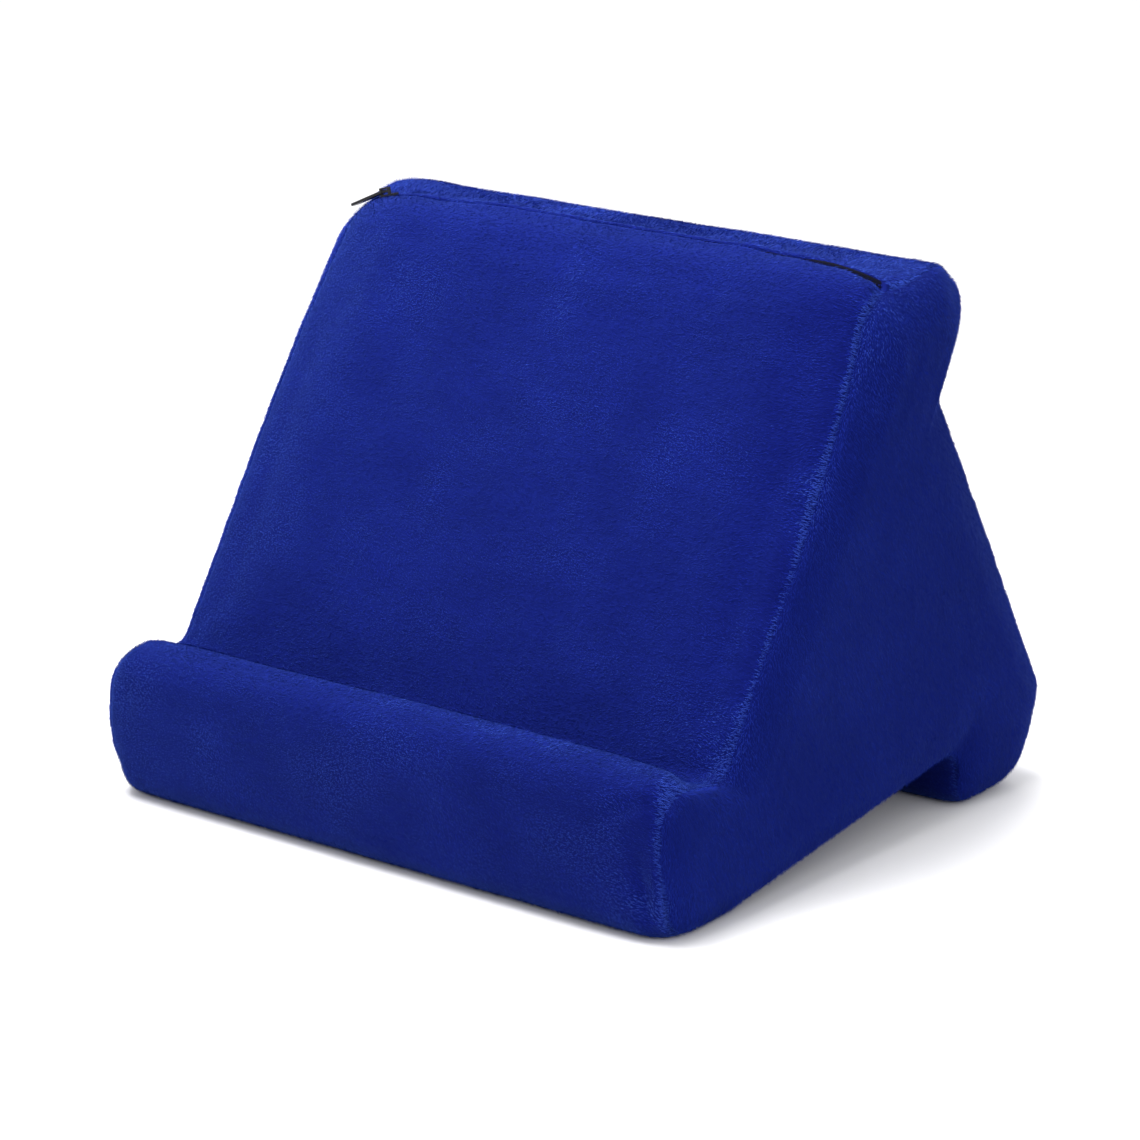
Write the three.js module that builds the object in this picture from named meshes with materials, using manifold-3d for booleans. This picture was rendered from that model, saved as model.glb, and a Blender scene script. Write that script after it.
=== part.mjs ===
// A tablet pillow stand: a foam-filled plush cushion, three-sided in profile like a
// pinwheel. Each corner runs on past one side as a lip, so each side has a ledge for a
// tablet. It stands on the front lip's sole and the back foot. A strip of cloth goes
// round the profile and closes with a zip along the top seam, and a crowned panel is
// sewn to each end. Millimetres, +X to the right end, +Y to the back, +Z up. The origin
// is on the surface it stands on, under the middle of the object.

import * as THREE from "three";
import { mergeVertices } from "three/addons/utils/BufferGeometryUtils.js";
import Module from "manifold-3d";

// Driving dimensions
const SEAM_HALF_WIDTH = 141.5; // from the middle to the seam of an end panel
const END_CROWN = 5; // how far an end panel swells past its seam
const CORE_SHARE = 0.85; // the flat top of the swelling keeps this much off the core
const BROAD_REACH = 46; // the profile draws in towards the seam over this width
const ROLL_REACH = 10; // the tight roll beside the seam
const RELIEF_EDGE = 60; // an edge this long is drawn in less half way along
const MID_EDGE_RELIEF = 0.55;
const PANEL_THICKNESS = 1.6;
const GAP = 0.3; // between pieces that touch
const BEHIND_PANEL = PANEL_THICKNESS + GAP;
const DEPTH = 275.4; // from the lip to the back of the foot

const ZIP = {
  endInset: 8, // the chain stops this far inside the strip's edges
  grooveWidth: 4,
  grooveDepth: 3.2,
  grooveCutHeight: 3, // the cut starts this far above the seam
  chainWidth: 3.4,
  chainTopDepth: 0.3,
};
const SLIDER = { fromEdge: 15, length: 8.5, width: 6, height: 2.2, nose: 2 };
const POCKET = { depth: 1.9, margin: 0.4 }; // the slider is sunk in a pocket of the seam
const BAIL = { middle: -1.2, length: 5.2, height: 3.1, width: 1.5, bar: 0.8 };
const PULL = {
  length: 18.5,
  width: 5.2,
  thickness: 1.1,
  eyeLength: 2.8,
  eyeWidth: 2.6,
  rim: 1.1,
  tipRadius: 1.7,
  hingeX: -2.1, // from the middle of the slider
  hingeHeight: 1.42, // above the top of the slider's body
  droopDegrees: 9.5, // against the slope of the slider
};

// Samples along the outline
const ARC_FRACTIONS = [0, 0.25, 0.5, 0.75, 1];
const EDGE_FRACTIONS = [1 / 3, 2 / 3];
const EDGE_DISTANCES = [0, 2, 5, ROLL_REACH, 20, 32, BROAD_REACH];
const CROWN_SHARES = [0, 0.2, 0.5, 1];

const FABRIC = { color: 0x1f2f9c, roughness: 0.9, metalness: 0 };
const ZIP_BLACK = { color: 0x101216, roughness: 0.45, metalness: 0.2 };

// The corners of the profile, from the top seam down the front and round by the base and
// the back. y is measured from the front of the lip. Columns: "middle" is the full foam
// shape, "end" is the shape at the seams, where the cloth bridges the hollows and the
// corners are pulled in (y, z, radius). "core" is where an end panel is fullest (y, z).
// "drawIn" is how far the seam is pulled towards the middle of the width. "roll" is how
// much of the change from end to middle is in the tight roll beside the seam.
const CORNERS = [
  ["top front", [140.5, 236.5, 24], [145.5, 225, 27], [156, 197], 9, 0.1],
  ["gutter", [40, 50, 8], [44.5, 55, 12], [61, 45], 2.2, 0.5],
  ["lip inner", [20.5, 66.5, 9], [15.5, 60, 8], [32, 39], 0.8, 0.8],
  ["lip outer", [0, 64, 13], [2.5, 53, 10], [24, 36], 0.5, 0.8],
  ["lip nose", [0, 38, 40], [2, 34, 25], [22, 29], 0.4, 0.8],
  ["lip toe", [3, 0, 12], [12, 1.5, 13], [28, 24], 0.3, 0.8],
  ["sole", [54, 0, 60], [51, 1.5, 50], [58, 27], 0.3, 0.7],
  ["notch", [208.5, 25, 5], [210.5, 26, 7], [220, 50], 1, 0.5],
  ["foot toe", [210.5, 0, 9], [211, 1.5, 9], [234, 27], 0.5, 0.7],
  ["foot heel", [260, 0, 30], [259.5, 1.5, 29], [245, 25], 0.8, 0.7],
  ["foot back", [278, 40, 18], [275.5, 38.5, 14], [248, 42], 1.2, 0.7],
  ["waist", [183, 180, 9], [183.5, 185, 14], [165, 162], 1, 0.6],
  ["crest inner", [213.7, 212.2, 13], [206, 219, 11], [180, 196], 4, 0.8],
  ["crest back", [203.6, 230.6, 18], [193.5, 234, 14], [176, 210], 7, 0.8],
].map(([name, middle, end, core, drawIn, roll]) => ({ name, middle, end, core, drawIn, roll }));

const mix = (a, b, share) => a + (b - a) * share;

// The rounded outline of one shape: per corner an arc, then points on the edge after it.
// Each point also has its core point and how far it is drawn in, which is more at the
// corners than half way along a long edge.
function outline(shape) {
  const next = (i) => (i + 1) % CORNERS.length;
  const place = (i) => new THREE.Vector2(...CORNERS.at(i)[shape]);
  const arcs = CORNERS.map((corner, i) => {
    const radius = corner[shape][2];
    const arriving = place(i).sub(place(i - 1)).normalize();
    const leaving = place(next(i)).sub(place(i)).normalize();
    const turn = Math.atan2(arriving.cross(leaving), arriving.dot(leaving));
    const reach = radius * Math.tan(Math.abs(turn) / 2);
    const start = place(i).addScaledVector(arriving, -reach);
    const end = place(i).addScaledVector(leaving, reach);
    const inwards = new THREE.Vector2(-arriving.y, arriving.x).multiplyScalar(Math.sign(turn));
    return { start, end, turn, centre: start.clone().addScaledVector(inwards, radius) };
  });
  return arcs.flatMap((arc, i) => {
    const here = CORNERS[i];
    const after = CORNERS[next(i)];
    const length = arc.end.distanceTo(arcs[next(i)].start);
    const onArc = ARC_FRACTIONS.map((f) => {
      const p = arc.start.clone().rotateAround(arc.centre, arc.turn * f);
      return { y: p.x, z: p.y, core: here.core, drawIn: here.drawIn, roll: here.roll };
    });
    const onEdge = EDGE_FRACTIONS.map((f) => {
      const p = arc.end.clone().lerp(arcs[next(i)].start, f);
      const core = here.core.map((value, axis) => mix(value, after.core[axis], f));
      const relief = 4 * f * (1 - f) * Math.min(length / RELIEF_EDGE, 1);
      const drawIn = mix(here.drawIn, after.drawIn, f) * (1 - MID_EDGE_RELIEF * relief);
      return { y: p.x, z: p.y, core, drawIn, roll: mix(here.roll, after.roll, f) };
    });
    return [...onArc, ...onEdge];
  });
}

const MIDDLE = outline("middle");
const END = outline("end");

// Grows from 0 to 1 over a reach and comes in level.
const ease = (distance, reach) => 1 - (1 - Math.min(distance / reach, 1)) ** 2;

// The strip's section at a distance inside its edge at one end (side is -1 or +1).
function stripSection(side, fromEdge) {
  const broad = ease(fromEdge, BROAD_REACH);
  const tight = ease(fromEdge, ROLL_REACH);
  return END.map(({ y, z, drawIn, roll }, i) => {
    const full = mix(broad, tight, roll);
    const x = SEAM_HALF_WIDTH - BEHIND_PANEL - fromEdge - drawIn * (1 - broad);
    return section(side * x, mix(y, MIDDLE[i].y, full), mix(z, MIDDLE[i].z, full));
  });
}

// A ring of an end panel's swelling. share goes from 0 at the seam to 1 where the panel
// is fullest. The ring is sunk below the outside by a distance along X.
function crownRing(side, share, sunk) {
  const rise = END_CROWN * (1 - (1 - share) ** 2);
  const inwards = share * CORE_SHARE;
  return END.map(({ y, z, core, drawIn }) => {
    const x = SEAM_HALF_WIDTH - drawIn * (1 - share) ** 2 + rise - sunk;
    return section(side * x, mix(y, core[0], inwards), mix(z, core[1], inwards));
  });
}

// A point of a section, with y still measured from the front of the lip.
function section(x, y, z) {
  return new THREE.Vector3(x, y - DEPTH / 2, z);
}

// A closed body through rings of equal length, with the first and last filled in. Each
// ring runs anticlockwise seen from +X. The rings go from the -X side to the +X side.
// Each quad is split along its shorter diagonal, so parallel surfaces stay parallel.
function loft(rings) {
  const count = rings[0].length;
  const positions = rings.flat().flatMap((p) => [p.x, p.y, p.z]);
  const index = [];
  for (let r = 0; r + 1 < rings.length; r++) {
    for (let i = 0; i < count; i++) {
      const j = (i + 1) % count;
      const [a, b] = [r * count + i, r * count + j];
      const [c, d] = [a + count, b + count];
      const rising = rings[r][i].distanceTo(rings[r + 1][j]);
      const falling = rings[r][j].distanceTo(rings[r + 1][i]);
      index.push(...(rising < falling ? [a, b, d, a, d, c] : [a, b, c, b, d, c]));
    }
  }
  const fill = (ring, first, flip) => {
    const flat = ring.map((p) => new THREE.Vector2(p.y, p.z));
    for (const [a, b, c] of THREE.ShapeUtils.triangulateShape(flat, [])) {
      index.push(...(flip ? [c, b, a] : [a, b, c]).map((n) => first + n));
    }
  };
  fill(rings[0], 0, true);
  fill(rings.at(-1), (rings.length - 1) * count, false);
  const geometry = new THREE.BufferGeometry();
  geometry.setAttribute("position", new THREE.Float32BufferAttribute(positions, 3));
  geometry.setIndex(index);
  return geometry;
}

// Joining and cutting of closed geometries
const WELD = 1e-4; // vertices closer than this are one
const wasm = await Module();
wasm.setup();

function solidOf(geometry) {
  const bare = new THREE.BufferGeometry();
  bare.setAttribute("position", geometry.getAttribute("position"));
  bare.setIndex(geometry.getIndex());
  const merged = mergeVertices(bare, WELD);
  const vertProperties = merged.getAttribute("position").array;
  const triVerts = new Uint32Array(merged.getIndex().array);
  return new wasm.Manifold(new wasm.Mesh({ numProp: 3, vertProperties, triVerts }));
}

function geometryOf(solid) {
  const { vertProperties, triVerts } = solid.getMesh();
  const geometry = new THREE.BufferGeometry();
  geometry.setAttribute("position", new THREE.BufferAttribute(vertProperties, 3));
  geometry.setIndex(new THREE.BufferAttribute(triVerts, 1));
  return geometry;
}

function box(length, width, height, x, y, z) {
  return new THREE.BoxGeometry(length, width, height).translate(x, y, z);
}

// The top seam: the first point of the outline, where the crest meets the front face.
function topSeam(side, fromEdge) {
  return stripSection(side, fromEdge)[0];
}

// A bar of rectangular section that follows the top seam, from end to end.
function seamBar(width, topDepth, bottomDepth, endInset) {
  const distances = [endInset, ...EDGE_DISTANCES.filter((d) => d > endInset)];
  const left = distances.map((d) => topSeam(-1, d));
  const right = distances.map((d) => topSeam(1, d)).reverse();
  const rings = [...left, ...right].map((p) => {
    const at = (dy, depth) => new THREE.Vector3(p.x, p.y + dy, p.z - depth);
    const half = width / 2;
    return [at(half, topDepth), at(-half, topDepth), at(-half, bottomDepth), at(half, bottomDepth)];
  });
  return loft(rings);
}

function cushionGeometry() {
  const crown = (side) => CROWN_SHARES.map((share) => crownRing(side, share, BEHIND_PANEL));
  const strip = (side) => EDGE_DISTANCES.slice(1).map((d) => stripSection(side, d));
  const rings = [
    ...crown(-1).reverse(),
    ...strip(-1),
    ...strip(1).reverse(),
    ...crown(1),
  ];
  const { grooveWidth, grooveCutHeight, grooveDepth, endInset } = ZIP;
  const groove = seamBar(grooveWidth, -grooveCutHeight, grooveDepth, endInset - GAP);
  return geometryOf(solidOf(loft(rings)).subtract(solidOf(groove)).subtract(pocket()));
}

function endPanelGeometry(side) {
  const inside = CROWN_SHARES.map((share) => crownRing(side, share, PANEL_THICKNESS)).reverse();
  const outside = CROWN_SHARES.map((share) => crownRing(side, share, 0));
  const rings = [...inside, ...outside];
  return geometryOf(solidOf(loft(side > 0 ? rings : rings.reverse())));
}

function zipChainGeometry() {
  const chain = seamBar(ZIP.chainWidth, ZIP.chainTopDepth, ZIP.grooveDepth - GAP, ZIP.endInset);
  return geometryOf(solidOf(chain).subtract(pocket()));
}

// The place and slope of the slider on the top seam, near the left end.
function sliderPlace() {
  const before = topSeam(-1, SLIDER.fromEdge - SLIDER.length / 2);
  const after = topSeam(-1, SLIDER.fromEdge + SLIDER.length / 2);
  const place = new THREE.Group();
  place.position.copy(before).lerp(after, 0.5);
  place.rotation.y = -Math.atan2(after.z - before.z, after.x - before.x);
  place.updateMatrix();
  return place;
}

// The pocket for the slider, open at the top.
function pocket() {
  const { depth, margin } = POCKET;
  const height = depth + SLIDER.height;
  const cut = box(
    SLIDER.length + 2 * margin,
    SLIDER.width + 2 * margin,
    height,
    0,
    0,
    height / 2 - depth,
  );
  return solidOf(cut.applyMatrix4(sliderPlace().matrix));
}

// The slider's body, tapered to its nose at -X, with a bail on top.
function sliderGeometry() {
  const { length, width, height, nose } = SLIDER;
  const plan = new THREE.Shape([
    new THREE.Vector2(-length / 2, -width / 2 + nose),
    new THREE.Vector2(-length / 2 + nose, -width / 2),
    new THREE.Vector2(length / 2, -width / 2 + nose / 2),
    new THREE.Vector2(length / 2, width / 2 - nose / 2),
    new THREE.Vector2(-length / 2 + nose, width / 2),
    new THREE.Vector2(-length / 2, width / 2 - nose),
  ]);
  const body = new THREE.ExtrudeGeometry(plan, { depth: height, bevelEnabled: false });
  const legOffset = (BAIL.length - BAIL.bar) / 2;
  const top = height + BAIL.height;
  const root = height / 2; // the legs start inside the body
  const leg = (x) => box(BAIL.bar, BAIL.width, top - root, x, 0, (top + root) / 2);
  const bar = box(BAIL.length, BAIL.width, BAIL.bar, BAIL.middle, 0, top - BAIL.bar / 2);
  const bail = [leg(BAIL.middle - legOffset), leg(BAIL.middle + legOffset), bar].map(solidOf);
  return geometryOf(bail.reduce((whole, part) => whole.add(part), solidOf(body)));
}

// The pull tab along +X from the middle of its root: a flat tongue with an eye near the
// root and a rounded tip.
function pullGeometry() {
  const { length, width, thickness, eyeLength, eyeWidth, rim, tipRadius } = PULL;
  const neck = eyeWidth / 2 + rim;
  const half = width / 2;
  const tab = new THREE.Shape();
  tab.moveTo(-rim / 2, -neck);
  tab.lineTo(eyeLength + rim, -neck);
  tab.lineTo(eyeLength + 2 * rim, -half);
  tab.lineTo(length - tipRadius, -half);
  tab.absarc(length - tipRadius, -half + tipRadius, tipRadius, -Math.PI / 2, 0, false);
  tab.absarc(length - tipRadius, half - tipRadius, tipRadius, 0, Math.PI / 2, false);
  tab.lineTo(eyeLength + 2 * rim, half);
  tab.lineTo(eyeLength + rim, neck);
  tab.lineTo(-rim / 2, neck);
  const eye = new THREE.Path();
  eye.moveTo(rim / 2, -eyeWidth / 2);
  eye.lineTo(rim / 2, eyeWidth / 2);
  eye.lineTo(rim / 2 + eyeLength, eyeWidth / 2);
  eye.lineTo(rim / 2 + eyeLength, -eyeWidth / 2);
  tab.holes.push(eye);
  const settings = { depth: thickness, bevelEnabled: false, curveSegments: 4 };
  return new THREE.ExtrudeGeometry(tab, settings).translate(0, 0, -thickness / 2);
}

function piece(name, geometry, finish) {
  const mesh = new THREE.Mesh(geometry, new THREE.MeshStandardMaterial(finish));
  mesh.name = name;
  return mesh;
}

// The slider in its pocket, with the pull round the bail and hanging over the end.
function zipHead() {
  const head = sliderPlace();
  const sunk = new THREE.Group();
  sunk.position.z = GAP - POCKET.depth;
  const hinge = new THREE.Group();
  hinge.position.set(PULL.hingeX, 0, SLIDER.height + PULL.hingeHeight);
  hinge.rotation.y = Math.PI - THREE.MathUtils.degToRad(PULL.droopDegrees);
  hinge.add(piece("zip_pull", pullGeometry(), ZIP_BLACK));
  sunk.add(piece("zip_slider", sliderGeometry(), ZIP_BLACK), hinge);
  head.add(sunk);
  return head;
}

const stand = new THREE.Group();
stand.add(
  piece("cushion", cushionGeometry(), FABRIC),
  piece("end_panel_left", endPanelGeometry(-1), FABRIC),
  piece("end_panel_right", endPanelGeometry(1), FABRIC),
  piece("zip_chain", zipChainGeometry(), ZIP_BLACK),
  zipHead(),
);

export default stand;
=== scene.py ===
# %% [markdown]
# # A plush tablet pillow stand
#
# The real thing is a foam wedge in a fitted cover of short blue plush. Seen from the end
# it is a pinwheel with three arms: the lip in front, the crest on top and the foot at the
# back. One long strip of plush goes round that profile and closes with a zip along the
# top seam, and a crowned panel is sewn to each end.
#
# This script dresses the measured model. It loads the solids as a fixed frame, and then
# makes each visible piece again as a fine surface in the same place.

# %% Load the measured frame
import itertools

import bpy
import numpy as np
from mathutils import Matrix, Vector
from mathutils.geometry import delaunay_2d_cdt


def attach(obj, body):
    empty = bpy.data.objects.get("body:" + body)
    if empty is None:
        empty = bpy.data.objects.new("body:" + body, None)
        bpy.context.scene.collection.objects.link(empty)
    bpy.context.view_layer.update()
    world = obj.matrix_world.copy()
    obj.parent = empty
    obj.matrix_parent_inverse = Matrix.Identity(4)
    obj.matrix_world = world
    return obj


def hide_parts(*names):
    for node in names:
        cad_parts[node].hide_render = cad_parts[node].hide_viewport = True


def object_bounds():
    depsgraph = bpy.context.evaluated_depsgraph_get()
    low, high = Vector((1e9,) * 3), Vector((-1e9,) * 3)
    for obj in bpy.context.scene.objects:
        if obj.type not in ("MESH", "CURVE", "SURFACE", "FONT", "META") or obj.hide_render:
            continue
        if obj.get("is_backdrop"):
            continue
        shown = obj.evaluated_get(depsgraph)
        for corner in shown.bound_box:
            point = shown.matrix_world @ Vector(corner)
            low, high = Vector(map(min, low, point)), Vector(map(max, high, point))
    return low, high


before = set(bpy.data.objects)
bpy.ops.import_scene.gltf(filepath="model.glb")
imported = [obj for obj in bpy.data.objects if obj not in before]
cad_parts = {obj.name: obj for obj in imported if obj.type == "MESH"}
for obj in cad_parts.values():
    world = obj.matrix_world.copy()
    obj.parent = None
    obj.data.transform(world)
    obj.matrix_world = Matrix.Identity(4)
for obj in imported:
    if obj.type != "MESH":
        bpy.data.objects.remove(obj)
cad_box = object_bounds()
MM = 0.001  # shapes are worked out in millimetres, as a pattern cutter would
rng = np.random.default_rng(20)
print("frame:", sorted(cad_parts))

# %% [markdown]
# ## The camera
#
# The photograph was matched by its outline: the camera looks from the front and the
# right, a little from above, with a long lens, and it is turned by less than a degree.
# It is aimed at a point on its line of sight in front of the stand.

# %% Set the camera
AZIMUTH, ELEVATION, ROLL = np.radians([37.2204, 15.9287, 0.9094])
AIM = np.array([0.2972, -0.39904, 0.234945])
AIM_DISTANCE = 1.2
LENS = 131.26  # for a sensor 36 mm wide


def look(azimuth, elevation, roll):
    """The camera's right, up and backward directions as the columns of a 3 by 3 array."""
    right = np.array([np.cos(azimuth), np.sin(azimuth), 0])
    up = np.array(
        [
            -np.sin(azimuth) * np.sin(elevation),
            np.cos(azimuth) * np.sin(elevation),
            np.cos(elevation),
        ]
    )
    turned_right = np.cos(roll) * right + np.sin(roll) * up
    turned_up = np.cos(roll) * up - np.sin(roll) * right
    return np.column_stack([turned_right, turned_up, np.cross(right, up)])


axes = look(AZIMUTH, ELEVATION, ROLL)
camera = bpy.data.objects.new("camera", bpy.data.cameras.new("camera"))
camera.data.lens = LENS
camera.data.sensor_width = 36
placed = Matrix(axes.tolist()).to_4x4()
placed.translation = (AIM + AIM_DISTANCE * axes[:, 2]).tolist()
camera.matrix_world = placed
bpy.context.scene.collection.objects.link(camera)
bpy.context.scene.camera = camera
print("camera at", [round(v, 3) for v in camera.matrix_world.translation])

# %% [markdown]
# ## The profile
#
# A cutter draws the foam's profile as a few corners, each with its radius. The same
# corners are used twice: once for the full foam in the middle of the width, and once for
# the seams at the ends, where the cloth bridges the hollows and pulls the corners in. A
# third point for each corner is where the end panel is fullest.

# %% The corners of the profile
SEAM = 141.5  # from the middle to the seam of an end panel
DEPTH = 275.4  # from the lip to the back of the foot
CROWN = 5.0  # how far an end panel swells past its seam

# Columns: name, full foam (y, z, radius), at the seam (y, z, radius), fullest (y, z),
# how far the seam is drawn in, how much of the change is in the tight roll by the seam.
# y is measured from the front of the lip.
CORNERS = [
    ("top front", (140.5, 236.5, 24), (145.5, 225, 27), (156, 197), 9, 0.1),
    ("gutter", (40, 50, 8), (44.5, 55, 12), (61, 45), 2.2, 0.5),
    ("lip inner", (20.5, 66.5, 9), (15.5, 60, 8), (32, 39), 0.8, 0.8),
    ("lip outer", (0, 64, 13), (2.5, 53, 10), (24, 36), 0.5, 0.8),
    ("lip nose", (0, 38, 40), (2, 34, 25), (22, 29), 0.4, 0.8),
    ("lip toe", (3, 0, 12), (12, 1.5, 13), (28, 24), 0.3, 0.8),
    ("sole", (54, 0, 60), (51, 1.5, 50), (58, 27), 0.3, 0.7),
    ("notch", (208.5, 25, 5), (210.5, 26, 7), (220, 50), 1, 0.5),
    ("foot toe", (210.5, 0, 9), (211, 1.5, 9), (234, 27), 0.5, 0.7),
    ("foot heel", (260, 0, 30), (259.5, 1.5, 29), (245, 25), 0.8, 0.7),
    ("foot back", (278, 40, 18), (275.5, 38.5, 14), (248, 42), 1.2, 0.7),
    ("waist", (183, 180, 9), (183.5, 185, 14), (165, 162), 1, 0.6),
    ("crest inner", (213.7, 212.2, 13), (206, 219, 11), (180, 196), 4, 0.8),
    ("crest back", (203.6, 230.6, 18), (193.5, 234, 14), (176, 210), 7, 0.8),
]
FOAM, SEWN, FULLEST = (np.array([row[n] for row in CORNERS], float) for n in (1, 2, 3))
DRAW_IN, TIGHT_SHARE = (np.array([row[n] for row in CORNERS], float) for n in (4, 5))


# %% Round the corners
STEP = 0.3  # between neighbouring samples of the outline
LONG_EDGE = 60.0  # an edge this long is drawn in less half way along
MID_EDGE_RELIEF = 0.55


def arcs(shape):
    """Where each corner's arc starts and stops, its centre and the angle it turns by."""
    place, radius = shape[:, :2], shape[:, 2:]
    arriving = place - np.roll(place, 1, 0)
    arriving /= np.linalg.norm(arriving, axis=1, keepdims=True)
    leaving = np.roll(arriving, -1, 0)
    cross = arriving[:, 0] * leaving[:, 1] - arriving[:, 1] * leaving[:, 0]
    turn = np.arctan2(cross, (arriving * leaving).sum(1))[:, None]
    reach = radius * np.tan(np.abs(turn) / 2)
    left = np.column_stack([-arriving[:, 1], arriving[:, 0]])
    start = place - arriving * reach
    return start, place + leaving * reach, start + left * radius * np.sign(turn), turn


def samples(*shapes):
    """The corner, the fraction and whether it is on the arc, for each sample of the
    outline. Every shape gets as many samples as the longest one needs."""
    arc_length, edge_length = np.zeros(len(CORNERS)), np.zeros(len(CORNERS))
    for shape in shapes:
        start, stop, _, turn = arcs(shape)
        arc_length = np.maximum(arc_length, (np.abs(turn) * shape[:, 2:])[:, 0])
        gap = np.linalg.norm(np.roll(start, -1, 0) - stop, axis=1)
        edge_length = np.maximum(edge_length, gap)
    lengths = np.column_stack([arc_length, edge_length]).ravel()
    counts = np.maximum(np.ceil(lengths / STEP), 2).astype(int)
    span = np.repeat(np.arange(len(counts)), counts)
    first = np.repeat(np.cumsum(counts) - counts, counts)
    fraction = (np.arange(len(span)) - first) / np.repeat(counts, counts)
    return span // 2, fraction[:, None], (span % 2 == 0)[:, None]


CORNER, FRACTION, ON_ARC = samples(FOAM, SEWN)
AFTER = (CORNER + 1) % len(CORNERS)


def outline(shape):
    """The rounded outline: along an arc the start turns about the centre, and along an
    edge the point moves evenly from one arc to the next."""
    start, stop, centre, turn = arcs(shape)
    angle = turn[CORNER] * FRACTION
    arm = (start - centre)[CORNER]
    side = np.column_stack([-arm[:, 1], arm[:, 0]])
    arc = centre[CORNER] + arm * np.cos(angle) + side * np.sin(angle)
    edge = stop[CORNER] * (1 - FRACTION) + start[AFTER] * FRACTION
    return np.where(ON_ARC, arc, edge)


def blur_round(values, width):
    """Values round the closed outline, blurred by a bell curve of that many samples."""
    count = len(values)
    waves = np.fft.fftfreq(count)[:, None]
    flat = values.reshape(count, -1)
    bell = np.exp(-2 * (np.pi * waves * width) ** 2)
    return np.fft.ifft(np.fft.fft(flat, axis=0) * bell, axis=0).real.reshape(values.shape)


def along_edges(values):
    """Values at the corners, carried evenly along the edges between them."""
    values = values.reshape(len(CORNERS), -1)
    return np.where(
        ON_ARC, values[CORNER], values[CORNER] * (1 - FRACTION) + values[AFTER] * FRACTION
    )


MIDDLE, END = outline(FOAM), outline(SEWN)
CORE = blur_round(along_edges(FULLEST), 16)
edge_length = np.linalg.norm(END[np.roll(np.arange(len(END)), -1)] - END, axis=1)
corner_edge = np.bincount(CORNER, weights=edge_length * ~ON_ARC[:, 0])
relief = 4 * FRACTION * (1 - FRACTION) * np.minimum(corner_edge / LONG_EDGE, 1)[CORNER, None]
drawn = along_edges(DRAW_IN) * (1 - MID_EDGE_RELIEF * np.where(ON_ARC, 0, relief))
DRAWN = blur_round(drawn, 8)
TIGHT = blur_round(along_edges(TIGHT_SHARE), 8)
ALONG = np.concatenate([[0], np.cumsum(np.linalg.norm(np.diff(MIDDLE, axis=0), axis=1))])
ROUND = ALONG[-1] + np.linalg.norm(MIDDLE[0] - MIDDLE[-1])  # once round the foam


def outward(path):
    """Outward directions of a closed outline that runs anticlockwise."""
    step = np.roll(path, -1, 0) - np.roll(path, 1, 0)
    step = blur_round(step, 4)
    step /= np.linalg.norm(step, axis=1, keepdims=True)
    return np.column_stack([step[:, 1], -step[:, 0]])


OUT = outward(END)
print(f"outline: {len(END)} samples, {ROUND:.0f} mm round the foam")

# %% [markdown]
# ## The two surfaces
#
# Every point of the strip has two numbers: how far round the outline it is, and how far
# across the width. Every point of an end panel has its place round the outline and its
# share of the way from the seam to where the panel is fullest. Both surfaces roll down
# into the seam over the last few millimetres, so that they meet in a narrow valley.

# %% The strip and the panels as functions
BROAD_REACH, TIGHT_REACH, TURNED = 46.0, 10.0, 1.9
CORE_SHARE = 0.85
SEAM_REACH = 4.2  # the roll into the seam
SEAM_SINK = 1.5  # how far the seam lies below the cloth beside it
ZIP_REACH = 2.6  # the roll of the plush down to the zip
ZIP_SINK = 2.7
BARE = 0.5  # the cloth lies this far under the tips of its pile
FULLER_FADE = 16.0  # a fuller place fades over this much cloth
ZIP_STOPS = 14.0  # the valley of the zip fades out over this much before an end seam


def ease(distance, reach):
    """Grows from 0 to 1 over the reach and comes in level."""
    return 1 - (1 - np.clip(distance / reach, 0, 1)) ** 2


def fold(distance, reach):
    """1 in the fold, and 0 from the reach on, where it comes in level."""
    return (1 - np.clip(distance / reach, 0, 1)) ** 2


def from_zip(stations):
    """How far round the foam each station is from the zip, at its nearer side."""
    return np.minimum(ALONG[stations], ROUND - ALONG[stations])


def place(x, yz):
    """Points in space from x and a (y, z) that is still measured from the lip."""
    return np.stack(np.broadcast_arrays(x, yz[..., 0] - DEPTH / 2, yz[..., 1]), axis=-1)


def zip_opened(x):
    """0 where the zip's seam is closed, and 1 towards the right end, where the strip is
    pulled over the corner and the seam opens."""
    return np.clip((x - 62) / 40, 0, 1) ** 2 * np.clip((140 - x) / 8, 0, 1)


def zip_gap(x):
    """Half the gap between the lips of the zip's seam, which also opens at the slider."""
    at_slider = np.exp(-(((x + 121) / 9) ** 2))
    return 0.22 + 0.8 * zip_opened(x) + 0.9 * at_slider


# Where the seam lies further out than the pattern says. Columns: end, how far round the
# foam, half the length, how far out
FULLER = [(-1, 299, 13, 3.0), (1, 345, 22, 1.0), (-1, 883, 14, 3.4)]


def fuller(side, stations, inside):
    """How much further out the cloth lies, fading away from the seam."""
    total = 0
    for end, at, long, height in FULLER:
        bulge = height * np.exp(-(((ALONG[stations] - at) / long) ** 2))[:, None]
        total = total + bulge * (side == end) * np.exp(-inside / FULLER_FADE)
    return total


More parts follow.
